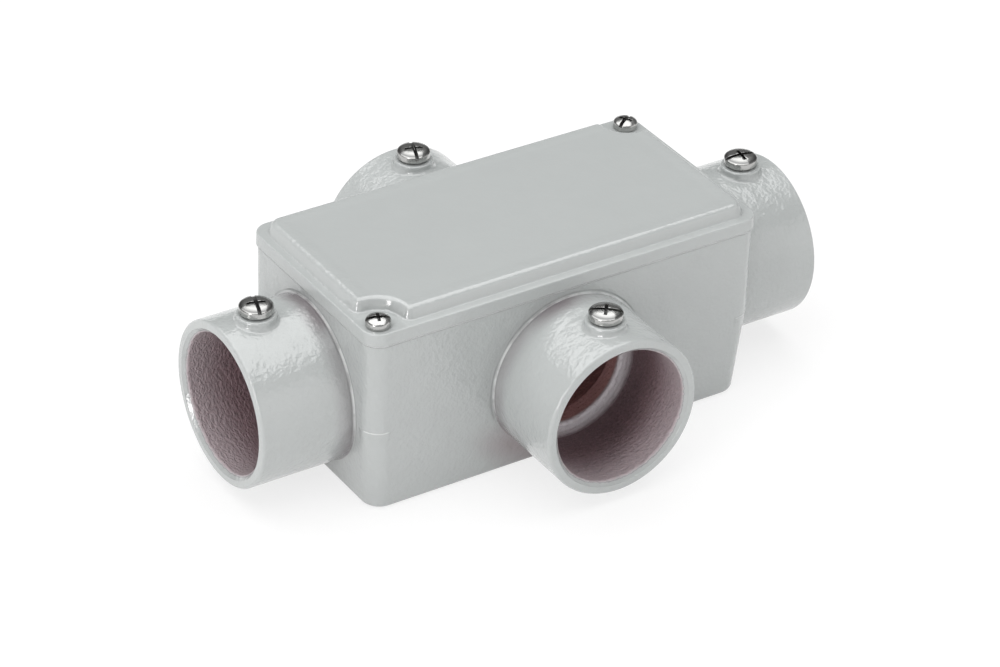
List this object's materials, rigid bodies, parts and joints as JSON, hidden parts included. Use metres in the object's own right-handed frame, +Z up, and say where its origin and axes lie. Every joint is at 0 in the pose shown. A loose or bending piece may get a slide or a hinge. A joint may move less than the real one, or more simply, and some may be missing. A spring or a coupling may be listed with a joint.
{
  "type": "conduit body",
  "caption": "Rectangular cast conduit junction box with conduit sockets on all sides, set screws on the sockets and a screwed cover.",
  "frame": {"origin": "middle of the box's flat underside", "axes": "+X along the box's long side, +Y across it, +Z up through the cover"},
  "size_m": [0.1464, 0.0964, 0.0496],
  "materials": {
    "coated_casting": "gloss",
    "seal_rubber": "matte",
    "plated_steel": "polished"
  },
  "bodies": {
    "housing": {"body": "coated_casting", "gasket": "seal_rubber"},
    "cover": {"cover": "coated_casting"},
    "cover_screw_front": {"cover_screw_front": "plated_steel"},
    "cover_screw_rear": {"cover_screw_rear": "plated_steel"},
    "set_screw_left": {"set_screw_left": "plated_steel"},
    "set_screw_right": {"set_screw_right": "plated_steel"},
    "set_screw_front": {"set_screw_front": "plated_steel"},
    "set_screw_back": {"set_screw_back": "plated_steel"}
  },
  "joints": [
    {"name": "cover_lift", "type": "slide", "parent": "housing", "child": "cover", "axis": [0, 0, 1], "range_m": [0, 0.03]},
    {"name": "cover_screw_front_travel", "type": "slide", "parent": "cover", "child": "cover_screw_front", "axis": [0, 0, 1], "range_m": [0, 0.01]},
    {"name": "cover_screw_rear_travel", "type": "slide", "parent": "cover", "child": "cover_screw_rear", "axis": [0, 0, 1], "range_m": [0, 0.01]},
    {"name": "set_screw_left_travel", "type": "slide", "parent": "housing", "child": "set_screw_left", "axis": [0, 0, 1], "range_m": [-0.00038, 0.004]},
    {"name": "set_screw_right_travel", "type": "slide", "parent": "housing", "child": "set_screw_right", "axis": [0, 0, 1], "range_m": [-0.00038, 0.004]},
    {"name": "set_screw_front_travel", "type": "slide", "parent": "housing", "child": "set_screw_front", "axis": [0, 0, 1], "range_m": [-0.00038, 0.004]},
    {"name": "set_screw_back_travel", "type": "slide", "parent": "housing", "child": "set_screw_back", "axis": [0, 0, 1], "range_m": [-0.00038, 0.004]}
  ]
}
